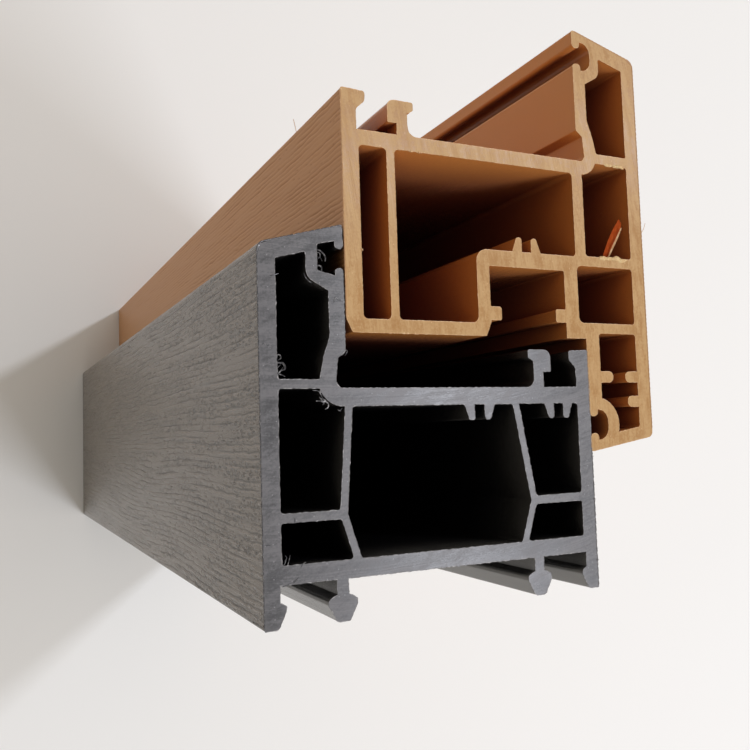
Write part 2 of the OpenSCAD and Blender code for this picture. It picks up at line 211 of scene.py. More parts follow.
def make_sawn_group():
    """Where the blade cut: a mask of the sawn ends, and its scratches, smears, chatter bars and specks."""
    inputs = {"Blade X": 0.0, "Blade Y": 0.0, "Pitch": SCRATCH_PITCH, "Rare": 0.9}
    tree, given, out = new_group("sawn_end", inputs, ("Sawn", "Scratches", "Smears", "Bars", "Specks"))
    coords = add_node(tree, "ShaderNodeTexCoord").outputs
    facing = sum_up(tree, "ABSOLUTE", part_of(tree, coords["Normal"], "Z"))
    across = part_of(tree, coords["Object"], "X")
    here = vector_of(tree, X=across, Y=part_of(tree, coords["Object"], "Y"))
    blade = vector_of(tree, X=given["Blade X"], Y=given["Blade Y"])
    wander = cloud(tree, scaled(tree, here, 140))
    radius = sum_up(tree, "MULTIPLY_ADD", wander, BLADE_WANDER, vectors(tree, "DISTANCE", here, blade))
    scratches = cloud(tree, along_arcs(tree, here, radius, given["Pitch"], 0.0, 190), 3, 0.65)
    smears = cloud(tree, along_arcs(tree, here, radius, SMEAR_PITCH, 7.0, 240), 6, 0.72)
    bars = cloud(tree, along_arcs(tree, here, radius, BAR_PITCH, 3.0, 60), 1)
    fluff = cloud(tree, scaled(tree, here, 2300), 3, 0.7)
    mottle = sum_up(tree, "MULTIPLY_ADD", fluff, 0.5, smears)
    sockets = {"Vector": here, "Scale": SPECK_PITCH, "Randomness": 1.0}
    grit = add_node(tree, "ShaderNodeTexVoronoi", sockets, voronoi_dimensions="2D").outputs
    chosen = sum_up(tree, "GREATER_THAN", part_of(tree, grit["Color"], "X"), given["Rare"])
    for key, value in {
        "Sawn": span(tree, facing, 0.6, 0.8),
        "Scratches": span(tree, scratches, 0.3, 0.7),
        "Smears": span(tree, mottle, 0.6, 0.9),
        "Bars": span(tree, bars, 0.36, 0.64),
        "Specks": sum_up(tree, "MULTIPLY", span(tree, grit["Distance"], 0.13, 0.04), chosen),
    }.items():
        tree.links.new(value, out.inputs[key])
    return tree


def make_drawn_group():
    """Faint lines that the die leaves along a drawn bar."""
    tree, given, out = new_group("drawn_lines", {"Density": DIE_PITCH}, ("Lines", "Bands"))
    coords = add_node(tree, "ShaderNodeTexCoord").outputs["Object"]
    along = stretched(tree, coords, 1, 1, 0.004)
    sockets = {0: along, "Scale": given["Density"]}
    dense = add_node(tree, "ShaderNodeVectorMath", sockets, operation="SCALE").outputs[0]
    tree.links.new(cloud(tree, dense, 2, 0.6), out.inputs["Lines"])
    tree.links.new(cloud(tree, scaled(tree, along, 160)), out.inputs["Bands"])
    return tree


def make_grain_group():
    """Embossed woodgrain of the foil: long wavy ridges, short pores in clusters and broad figure."""
    inputs = {"Across": 1100.0, "Along": 70.0, "Pore Across": 2300.0, "Pore Along": 620.0}
    tree, given, out = new_group("foil_grain", inputs, ("Ridges", "Pores", "Figure"))
    coords = add_node(tree, "ShaderNodeTexCoord").outputs["Object"]
    ridge_size = vector_of(tree, X=given["Across"], Y=given["Across"], Z=given["Along"])
    pore_size = vector_of(tree, X=given["Pore Across"], Y=given["Pore Across"], Z=given["Pore Along"])
    ridges = cloud(tree, vectors(tree, "MULTIPLY", coords, ridge_size), 3, 0.6, 0.5)
    sockets = {"Vector": vectors(tree, "MULTIPLY", coords, pore_size), "Scale": 1.0}
    dots = add_node(tree, "ShaderNodeTexVoronoi", sockets).outputs["Distance"]
    crowd = cloud(tree, stretched(tree, coords, 420, 420, 36))
    pores = sum_up(tree, "MULTIPLY", span(tree, dots, 0.46, 0.3), span(tree, crowd, 0.43, 0.54))
    figure = cloud(tree, stretched(tree, coords, 190, 190, 7), 3, 0.55, 0.8)
    tree.links.new(span(tree, ridges, 0.28, 0.72), out.inputs["Ridges"])
    tree.links.new(pores, out.inputs["Pores"])
    tree.links.new(span(tree, figure, 0.3, 0.7), out.inputs["Figure"])
    return tree


SAWN = make_sawn_group()
DRAWN = make_drawn_group()
GRAIN = make_grain_group()


# Finishes

THIN_WEB = 0.0016
SCORE_DEPTH = 0.00005
FAINT = 0.001


def new_finish(name):
    finish = bpy.data.materials.new(name)
    finish.use_nodes = True
    return finish, finish.node_tree, finish.node_tree.nodes["Principled BSDF"]


def raise_bump(tree, shader, height, reach, strength):
    sockets = {"Height": height, "Distance": reach, "Strength": strength}
    bump = add_node(tree, "ShaderNodeBump", sockets)
    tree.links.new(bump.outputs[0], shader.inputs["Normal"])


def sawn_colour(tree, sawn, cut, dark, pale, bars, speck):
    """Colour of a sawn end: smeared, barred by the blade, whitened on thin webs, scratched and specked."""
    even = mixed(tree, 0.9, cut, mixed(tree, sawn["Smears"], dark, pale))
    barred = mixed(tree, span(tree, sawn["Bars"], 0.4, 0.0, 0.0, bars), even, dark)
    barred = mixed(tree, span(tree, sawn["Bars"], 0.6, 1.0, 0.0, bars), barred, pale)
    stock = occlusion(tree, THIN_WEB, inside=True)
    thinned = mixed(tree, span(tree, stock, 0.25, 0.75, 0.55, 0.0), barred, pale)
    scratch = span(tree, sawn["Scratches"], 0.5, 1.0, 0.0, 0.95)
    scratch = sum_up(tree, "MULTIPLY", scratch, span(tree, sawn["Smears"], 0.1, 0.9, 0.15, 1.0))
    return mixed(tree, sawn["Specks"], mixed(tree, scratch, thinned, pale), speck)


def drawn_plastic(
    name, wall, wall_painted_shade, painted_shade_reach, painted_shade_span, cut, cut_dark, cut_pale, bars, speck, rare, blade, sheen, gloss
):
    """Through-coloured PVC: smooth where the die drew it, paler and scratched where it was sawn; its walls
    darken with painted shade inside the chambers.
    """
    finish, tree, shader = new_finish(name)
    values = {"Blade X": blade[0], "Blade Y": blade[1], "Pitch": SCRATCH_PITCH, "Rare": rare}
    sawn = use_group(tree, SAWN, values)
    drawn = use_group(tree, DRAWN, {"Density": DIE_PITCH})
    # Painted shade: the walls fade to a darker colour where occlusion finds them enclosed, deep in the
    # chambers.
    shaded_walls = mixed(tree, span(tree, occlusion(tree, painted_shade_reach), *painted_shade_span), wall_painted_shade, wall)
    ends = sawn_colour(tree, sawn, cut, cut_dark, cut_pale, bars, speck)
    tree.links.new(mixed(tree, sawn["Sawn"], shaded_walls, ends), shader.inputs["Base Color"])
    rough_wall = span(tree, drawn["Lines"], 0.3, 0.7, 0.15, 0.22)
    rough_end = span(tree, sawn["Smears"], 0.0, 1.0, 0.35, 0.52)
    rough = add_node(tree, "ShaderNodeMix", {0: sawn["Sawn"], 2: rough_wall, 3: rough_end})
    tree.links.new(rough.outputs[0], shader.inputs["Roughness"])
    height = add_node(tree, "ShaderNodeMix", {0: sawn["Sawn"], 2: drawn["Bands"], 3: sawn["Scratches"]})
    raise_bump(tree, shader, height.outputs[0], SCORE_DEPTH, 0.35)
    facing = add_node(tree, "ShaderNodeNewGeometry").outputs["Normal"]
    around = vectors(tree, "CROSS_PRODUCT", facing, (0, 0, 1))
    tree.links.new(vectors(tree, "ADD", around, Vector(sheen) * FAINT), shader.inputs["Tangent"])
    shader.inputs["Anisotropic"].default_value = 1.0
    shader.inputs["Specular IOR Level"].default_value = gloss
    return finish


def woodgrain_foil(name, base, dark, pale, lip, deep, edge, grain, fleck, relief, rough, gloss):
    """Embossed foil on the outdoor and room faces, darker in its pores, darker in its grooves as print and
    painted shade, paler on its lips as wear and painted highlight, with painted shade in the joint.
    """
    finish, tree, shader = new_finish(name)
    sawn = use_group(tree, SAWN, {})
    wood = use_group(tree, GRAIN, grain)
    sunk = add_node(tree, "ShaderNodeAttribute", attribute_name="sunk").outputs["Fac"]
    figured = mixed(tree, wood["Figure"], base, pale)
    lined = mixed(tree, span(tree, wood["Ridges"], 0.0, 0.5, 0.5 * fleck, 0.0), figured, dark)
    pored = mixed(tree, span(tree, wood["Pores"], 0.0, 1.0, 0.0, fleck), lined, dark)
    # Paler lips: partly rubbed wear, partly a painted highlight on the raised relief.
    lips_worn_and_highlighted = mixed(tree, span(tree, sunk, 0.0, -1.0, 0.0, 0.7), pored, lip)
    # Darker grooves: partly printed grain, partly painted shade in the pressed hollows.
    grooves_printed_and_shaded = mixed(tree, span(tree, sunk, 0.1, 1.0, 0.0, 0.75), lips_worn_and_highlighted, dark)
    # Painted shade: the colour turns to deep where occlusion finds the foil in the joint.
    shaded = mixed(tree, span(tree, occlusion(tree, 0.02), 0.1, 0.45), deep, grooves_printed_and_shaded)
    tree.links.new(mixed(tree, sawn["Sawn"], shaded, edge), shader.inputs["Base Color"])
    tree.links.new(span(tree, sunk, 0.0, 1.0, rough, rough + 0.2), shader.inputs["Roughness"])
    height = sum_up(tree, "MULTIPLY_ADD", wood["Pores"], -1.5, wood["Ridges"])
    raise_bump(tree, shader, height, relief, fleck)
    shader.inputs["Specular IOR Level"].default_value = gloss
    return finish


def torn_plastic(name, base, pale, rough, gloss=0.5):
    """Burrs and shavings: torn plastic, pale where it is thin."""
    finish, tree, shader = new_finish(name)
    coords = add_node(tree, "ShaderNodeTexCoord").outputs["Object"]
    stress = span(tree, cloud(tree, scaled(tree, coords, 1600), 3), 0.42, 0.7)
    tree.links.new(mixed(tree, stress, base, pale), shader.inputs["Base Color"])
    tree.links.new(span(tree, stress, 0.0, 1.0, rough, rough + 0.2), shader.inputs["Roughness"])
    raise_bump(tree, shader, stress, SCORE_DEPTH, 0.4)
    shader.inputs["Specular IOR Level"].default_value = gloss
    return finish


def white_top(name, low, high):
    """Matt white table top with a slow change of tone."""
    finish, tree, shader = new_finish(name)
    coords = add_node(tree, "ShaderNodeTexCoord").outputs["Object"]
    tone = mixed(tree, cloud(tree, scaled(tree, coords, 6)), low, high)
    tree.links.new(tone, shader.inputs["Base Color"])
    shader.inputs["Roughness"].default_value = 0.7
    return finish


GREY_PLASTIC = drawn_plastic(
    "grey_plastic",
    wall=(0.168, 0.164, 0.152),
    # Painted shade for the chamber walls: its colour, occlusion reach and span.
    wall_painted_shade=(0.005, 0.005, 0.006),
    painted_shade_reach=0.06,
    painted_shade_span=(0.24, 0.74),
    cut=(0.053, 0.052, 0.056),
    cut_dark=(0.025, 0.0245, 0.028),
    cut_pale=(0.127, 0.125, 0.132),
    bars=0.25,
    speck=(0.24, 0.24, 0.255),
    rare=0.93,
    blade=(-0.012, 0.16),
    sheen=(0, 1, 0),
    gloss=0.9,
)
BROWN_PLASTIC = drawn_plastic(
    "caramel_plastic",
    wall=(0.67, 0.272, 0.07),
    # Painted shade for the chamber walls: its colour, occlusion reach and span.
    wall_painted_shade=(0.15, 0.04, 0.036),
    painted_shade_reach=0.1,
    painted_shade_span=(0.02, 0.44),
    cut=(0.446, 0.256, 0.1075),
    cut_dark=(0.38, 0.209, 0.08),
    cut_pale=(0.508, 0.333, 0.162),
    bars=0.36,
    speck=(0.66, 0.45, 0.25),
    rare=0.975,
    blade=(-0.28, -0.03),
    sheen=(1, 0, 0),
    gloss=0.3,
)
GREY_FOIL = woodgrain_foil(
    "grey_woodgrain_foil",
    base=(0.106, 0.075, 0.046),
    dark=(0.02, 0.016, 0.012),
    pale=(0.116, 0.083, 0.052),
    lip=(0.24, 0.195, 0.155),
    # deep is the painted shade of the joint.
    deep=(0.02, 0.018, 0.016),
    edge=(0.014, 0.012, 0.016),
    grain={"Across": 1000.0, "Along": 75.0, "Pore Across": 1600.0, "Pore Along": 560.0},
    fleck=0.7,
    relief=0.00011,
    rough=0.24,
    gloss=0.9,
)
BROWN_FOIL = woodgrain_foil(
    "brown_woodgrain_foil",
    base=(0.58, 0.275, 0.104),
    dark=(0.4, 0.172, 0.062),
    pale=(0.6, 0.29, 0.112),
    lip=(0.66, 0.34, 0.145),
    # deep is the painted shade of the joint.
    deep=(0.06, 0.02, 0.008),
    edge=(0.36, 0.2, 0.09),
    grain={"Across": 1500.0, "Along": 80.0, "Pore Across": 2600.0, "Pore Along": 300.0},
    fleck=0.08,
    relief=0.00004,
    rough=0.42,
    gloss=0.25,
)
GREY_TORN = torn_plastic("grey_torn_plastic", (0.12, 0.12, 0.128), (0.42, 0.42, 0.43), 0.4)
GREY_SHAVING = torn_plastic("grey_shaving", (0.035, 0.035, 0.04), (0.32, 0.32, 0.33), 0.3)
BROWN_TORN = torn_plastic("caramel_torn_plastic", (0.5, 0.28, 0.12), (0.7, 0.5, 0.28), 0.4)
BROWN_CRUMB = torn_plastic("caramel_crumb", (0.56, 0.38, 0.18), (0.68, 0.53, 0.28), 0.55, 0.25)
# The sliver's colour is painted shade: a dark copy of the caramel plastic it was torn from.
BROWN_SLIVER_PAINTED_SHADE = torn_plastic("caramel_sliver_painted_shade", (0.25, 0.042, 0.009), (0.32, 0.062, 0.014), 0.6, 0.0)
TABLE_TOP = white_top("white_table", (0.795, 0.815, 0.812), (0.815, 0.835, 0.832))


def add_table():
    bpy.ops.mesh.primitive_plane_add(size=6, location=(0, 0, -0.0001))
    table = bpy.context.object
    table.name = "white_table"
    table.data.materials.append(TABLE_TOP)


# Modelling helpers


def pick_points(piece, test):
    """Selects the points of a mesh that pass a test, in object mode."""
    for group in (piece.data.polygons, piece.data.edges):
        for item in group:
            item.select = False
    for point in piece.data.vertices:
        point.select = test(point.co)


def apply_all(piece):
    bpy.context.view_layer.objects.active = piece
    for name in [m.name for m in piece.modifiers]:
        bpy.ops.object.modifier_apply(modifier=name)


def in_edit(piece, *steps):
    bpy.context.view_layer.objects.active = piece
    bpy.ops.object.mode_set(mode="EDIT")
    for step in steps:
        step()
    bpy.ops.object.mode_set(mode="OBJECT")


def turn_faces_out(piece):
    pick_points(piece, lambda at: True)
    in_edit(piece, lambda: bpy.ops.mesh.normals_make_consistent(inside=False))


def thicken(piece, thickness):
    wall = piece.modifiers.new("wall", "SOLIDIFY")
    wall.thickness = thickness * MM
    wall.offset = 0
    apply_all(piece)


def join_up(pieces):
    bpy.ops.object.select_all(action="DESELECT")
    for piece in pieces:
        piece.select_set(True)
    bpy.context.view_layer.objects.active = pieces[0]
    if len(pieces) > 1:
        bpy.ops.object.join()
    return pieces[0]


def finish_piece(piece, name, finish, angle):
    piece.name = name
    piece.data.name = name
    piece.data.materials.clear()
    piece.data.materials.append(finish)
    bpy.ops.object.select_all(action="DESELECT")
    piece.select_set(True)
    bpy.context.view_layer.objects.active = piece
    bpy.ops.object.shade_smooth_by_angle(angle=math.radians(angle))
    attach(piece, "root")


def walk(corners, step):
    """Even steps along a run of straight lines, through each of its corners."""
    path = [Vector(corners[0])]
    for a, b in zip(corners, corners[1:]):
        a, b = Vector(a), Vector(b)
        count = max(1, round((b - a).length / step))
        path += [a.lerp(b, i / count) for i in range(1, count + 1)]
    return path


def bend(start, corner, end, radius, count):
    """The points of a rounded corner."""
    start, corner, end = Vector(start), Vector(corner), Vector(end)
    back, on = (start - corner).normalized(), (end - corner).normalized()
    half = back.angle(on) / 2
    centre = corner + (back + on).normalized() * (radius / math.sin(half))
    first = corner + back * (radius / math.tan(half)) - centre
    last = corner + on * (radius / math.tan(half)) - centre
    sweep = first.angle_signed(last)
    return [centre + Matrix.Rotation(-sweep * i / count, 2) @ first for i in range(count + 1)]


def shifted(path, by):
    """The same path moved to its left side."""
    moved = []
    for i, point in enumerate(path):
        way = path[min(i + 1, len(path) - 1)] - path[max(i - 1, 0)]
        moved.append(point + Vector((-way.y, way.x)).normalized() * by)
    return moved


def curve_through(points, steps):
    """A smooth curve through the points, in even steps between each two."""
    points = [Vector(p) for p in points]
    path = []
    for i in range(len(points) - 1):
        a, b = points[max(i - 1, 0)], points[i]
        c, d = points[i + 1], points[min(i + 2, len(points) - 1)]
        for k in range(steps):
            t = k / steps
            square = (2 * a - 5 * b + 4 * c - d) * t**2
            cube = (3 * b - a - 3 * c + d) * t**3
            path.append(0.5 * (2 * b + (c - a) * t + square + cube))
    path.append(points[-1])
    return path


def rough_at(x, y, scale, seed):
    return noise.noise(Vector((x * scale, y * scale, seed)))


# Woodgrain foil, in mm

FOIL_PROUD = 0.15
FOIL_BURIED = 0.06
FOIL_LOW = 0.05
FOIL_HIGH = SAWN_END + 0.03
FOIL_STEPS = 174
FOIL_CROWDING = 1.7
BACK_STEP = 12
FINE_STEP = 0.14
ROOM_STEP = 0.17
SLOPE_STEP = 0.2
GROOVE_HALF = 0.15
LIP_ASIDE = 0.32
PIT_ACROSS = 0.6
PIT_ALONG = 1.7
PIT_HALF = 0.45
FADE_FROM = 60
FADE_OVER = 150
GREY_EMBOSS = {"pitch": 1.15, "pits": 0.6, "depth": 0.16}
BROWN_EMBOSS = {"pitch": 0.8, "pits": 0.1, "depth": 0.07}
LIP_SLOPE = math.tan(math.radians(15))
BROW_ROUND = 1.6
BROW_STEPS = 12
FRAME_FOOT = 0.3
FRAME_ROOM = 60
FRAME_ROOM_TOP = 25.2
FRAME_TIP = (13.65, 59.6)
SASH_OUTDOOR = 14.05
SASH_OUTDOOR_LOW = 45.3
SASH_OUTDOOR_TOP = 81.2
SASH_ROOM = 74.05
SASH_ROOM_LOW = 27
SASH_TIP = (60, 99.4)


def pressed(u, z, pitch, pits):
    """How deep the foil is pressed, u mm across and z mm along: -1 on a lip, 0 between, 1 in a groove."""
    sway = noise.noise(Vector((u * 0.08, z * 0.02, 3)))
    jog = noise.noise(Vector((u * 0.6, z * 0.3, 8)))
    nick = noise.noise(Vector((u * 1.4, z * 0.9, 15)))
    turn = u / pitch + 1.3 * sway + 0.22 * jog + 0.07 * nick
    row = round(turn)
    off = (turn - row) * pitch
    fade = 0.4 + 0.6 * min(1.0, max(0.0, (z - FADE_FROM) / FADE_OVER))
    force = (0.7 + 1.1 * noise.noise(Vector((row * 5.3, z * 0.07, 20)))) * fade
    force = min(1.0, max(0.0, force))
    groove = force * math.exp(-((off / GROOVE_HALF) ** 2))
    lip = force * math.exp(-(((off + LIP_ASIDE) / GROOVE_HALF) ** 2))
    crowd = noise.noise(Vector((u * 0.4, z * 0.05, 40)))
    across = math.floor(u / PIT_ACROSS)
    slip = abs(noise.cell(Vector((across + 0.5, 3.5, 7.5))))
    along = math.floor(z / PIT_ALONG + slip)
    luck = noise.cell_vector(Vector((across + 0.5, along + 0.5, 4.5)))
    if abs(luck.x) < pits * (0.5 + 1.6 * crowd):
        du = u - (across + 0.2 + 0.6 * abs(luck.y)) * PIT_ACROSS
        dz = z - (along - slip + 0.2 + 0.6 * abs(luck.z)) * PIT_ALONG
        groove = max(groove, fade * math.exp(-((du / GROOVE_HALF) ** 2) - (dz / PIT_HALF) ** 2))
    return groove - lip * (1 - groove)


def draw_foil(ring):
    """A closed bar of foil with the outline of the ring, in even rows."""
    bpy.ops.object.select_all(action="DESELECT")
    bpy.ops.mesh.primitive_circle_add(vertices=len(ring), fill_type="NOTHING")
    foil = bpy.context.object
    for point, (x, y) in zip(foil.data.vertices, ring):
        point.co = place(x, y, FOIL_LOW)
    draw = foil.modifiers.new("draw", "SCREW")
    draw.angle = 0
    draw.screw_offset = (FOIL_HIGH - FOIL_LOW) * MM
    draw.steps = draw.render_steps = FOIL_STEPS
    apply_all(foil)
    for end in (FOIL_LOW, FOIL_HIGH):
        pick_points(foil, lambda at: abs(at.z - end * MM) < 0.01 * MM)
        in_edit(foil, lambda: bpy.ops.mesh.select_mode(type="VERT"), bpy.ops.mesh.edge_face_add)
    turn_faces_out(foil)
    return foil


def add_foil(name, slot, finish, path, pitch, pits, depth):
    """Foil along a path of the section, embossed, with its rows closer towards the near sawn end."""
    outer = shifted(path, FOIL_PROUD)
    inner = shifted(path, -FOIL_BURIED)
    inner = [p for i, p in enumerate(inner) if i % BACK_STEP == 0 or i == len(inner) - 1]
    ring = outer + inner[::-1]
    foil = draw_foil(ring)
    run = [0.0]
    for a, b in zip(outer, outer[1:]):
        run.append(run[-1] + (b - a).length)
    face = foil.vertex_groups.new(name="face")
    sunk = [0.0] * len(foil.data.vertices)
    for i, point in enumerate(foil.data.vertices):
        back = (FOIL_HIGH - point.co.z / MM) / (FOIL_HIGH - FOIL_LOW)
        high = FOIL_HIGH - (FOIL_HIGH - FOIL_LOW) * max(0.0, back) ** FOIL_CROWDING
        point.co.z = high * MM
        if i % len(ring) < len(outer):
            sunk[i] = pressed(run[i % len(ring)], high, pitch, pits)
            face.add([i], 0.25 + (0.75 if sunk[i] > 0 else 0.25) * sunk[i], "REPLACE")
    emboss = foil.modifiers.new("emboss", "DISPLACE")
    emboss.vertex_group = "face"
    emboss.mid_level = 0.0
    emboss.strength = -depth * MM
    apply_all(foil)
    foil.vertex_groups.clear()
    foil.data.attributes.new("sunk", "FLOAT", "POINT").data.foreach_set("value", sunk)
    finish_piece(foil, name, finish, 60)


def add_foils():
    x, y = FRAME_TIP
    brow = bend((0, 0), (0, y - x * LIP_SLOPE), FRAME_TIP, BROW_ROUND, BROW_STEPS)
    outdoor = walk([(0, FRAME_FOOT), brow[0]], FINE_STEP) + brow[1:]
    outdoor += walk([brow[-1], (x - 0.45, y - 0.45 * LIP_SLOPE)], SLOPE_STEP)[1:]
    add_foil("frame_foil_outdoor", "grey_pvc", GREY_FOIL, outdoor, **GREY_EMBOSS)
    room = walk([(FRAME_ROOM, FRAME_ROOM_TOP), (FRAME_ROOM, FRAME_FOOT)], FINE_STEP)
    add_foil("frame_foil_room", "grey_pvc", GREY_FOIL, room, **GREY_EMBOSS)
    outdoor = walk([(SASH_OUTDOOR, SASH_OUTDOOR_LOW), (SASH_OUTDOOR, SASH_OUTDOOR_TOP)], FINE_STEP)
    add_foil("sash_foil_outdoor", "brown_pvc", BROWN_FOIL, outdoor, **BROWN_EMBOSS)
    x, y = SASH_TIP
    foot = (SASH_ROOM, SASH_ROOM_LOW)
    brow = bend(SASH_TIP, (SASH_ROOM, y - (SASH_ROOM - x) * LIP_SLOPE), foot, BROW_ROUND, BROW_STEPS)
    room = walk([(x + 0.6, y - 0.6 * LIP_SLOPE), brow[0]], SLOPE_STEP) + brow[1:]
    room += walk([brow[-1], foot], ROOM_STEP)[1:]
    add_foil("sash_foil_room", "brown_pvc", BROWN_FOIL, room, **BROWN_EMBOSS)


# Burrs, shavings and crumbs that the saw left, in mm

BURR_STEP = 0.28
BURR_LEAST = 12
BURR_ROOT = 0.04
BURR_SUNK = 0.03
BURR_THICK = 0.05
HIDDEN_REACH = 0.02
CURL_STEPS = 8
CRUMB_STEP = 0.2
CRUMB_SEAT = 0.05


def section_point(at):
    """A point of the scene as a point of the section, in mm."""
    return round((at.x - FRAME_LOW.x) / MM, 3), round((at.y - FRAME_LOW.y) / MM, 3)


def sawn_edges(node):
    """The closed edges of a bar's sawn end in section mm, each with the plastic on its left."""
    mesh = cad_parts[node].data
    top = SAWN_END * MM
    sides = set()
    for face in mesh.polygons:
        ring = [mesh.vertices[i].co for i in face.vertices]
        if all(abs(at.z - top) < 0.001 * MM for at in ring) and face.normal.z > 0.5:
            ends = [section_point(at) for at in ring]
            sides |= {(a, b) for a, b in zip(ends, ends[1:] + ends[:1]) if a != b}
    onward = {a: b for a, b in sides if (b, a) not in sides}
    loops = []
    while onward:
        loop = [min(onward)]
        while loop[-1] in onward:
            loop.append(onward.pop(loop[-1]))
        loops.append([Vector(at) for at in loop])
    return loops


def under_foil(at, away):
    """Whether an edge of the frame lies under its outdoor foil, which hides the burr there."""
    return at.x < 0.05 or (away.x < -0.2 and away.y > 0.9)


def burr_tip(at, away, ragged, seed):
    """How far a burr reaches out of the edge, and how far it stands up."""
    if under_foil(at, away):
        return HIDDEN_REACH, 0.0
    tuft = max(0.0, rough_at(at.x, at.y, 0.22, seed) - 0.28)
    tuft *= 0.25 + 0.5 * abs(rough_at(at.x, at.y, 1.6, seed))
    reach = max(0.0, 0.05 + ragged * (0.14 * rough_at(at.x, at.y, 2.0, seed) + tuft))
    return reach, 0.015 + 0.03 * rough_at(at.x, at.y, 0.9, seed + 5)


def add_burr(name, finish, loops, ragged, seed):
    """A thin torn lip all along the sawn edges, longer here and there."""
    bpy.ops.object.select_all(action="DESELECT")
    made = []
    for loop in loops:
        path = walk(loop, BURR_STEP)[:-1]
        if len(path) < BURR_LEAST:
            continue
        bpy.ops.mesh.primitive_cylinder_add(vertices=len(path), end_fill_type="NOTHING")
        burr = bpy.context.object
        made.append(burr)
        for i, at in enumerate(path):
            way = (path[(i + 1) % len(path)] - path[i - 1]).normalized()
            away = Vector((way.y, -way.x))
            reach, lift = burr_tip(at, away, ragged, seed)
            root, tip = at - away * BURR_ROOT, at + away * reach
            burr.data.vertices[2 * i].co = place(root.x, root.y, SAWN_END - BURR_SUNK)
            burr.data.vertices[2 * i + 1].co = place(tip.x, tip.y, SAWN_END + lift)
        thicken(burr, BURR_THICK)
    whole = join_up(made)
    turn_faces_out(whole)
    finish_piece(whole, name, finish, 50)


def ribbon(points, width, thick, lean=0.0):
    """One shaving: a thin strip through the points, in section mm and mm above the sawn end."""
    path = curve_through(points, CURL_STEPS)
    bpy.ops.mesh.primitive_grid_add(x_subdivisions=len(path) - 1, y_subdivisions=1)
    strip = bpy.context.object
    for i, at in enumerate(path):
        way = path[min(i + 1, len(path) - 1)] - path[max(i - 1, 0)]
        across = Matrix.Rotation(lean, 3, way.normalized()) @ Vector((0, 0, 1)).cross(way).normalized()
        taper = width * (0.35 + 0.65 * math.sin(math.pi * (0.12 + 0.83 * i / len(path)))) / 2
        for row, side in ((0, -1), (1, 1)):
            spot = at + across * (side * taper)
            strip.data.vertices[row * len(path) + i].co = place(spot.x, spot.y, SAWN_END + spot.z)
    thicken(strip, thick)
    return strip


def add_shavings(name, finish, strips):
    bpy.ops.object.select_all(action="DESELECT")
    whole = join_up([ribbon(*strip) for strip in strips])
    turn_faces_out(whole)
    finish_piece(whole, name, finish, 60)


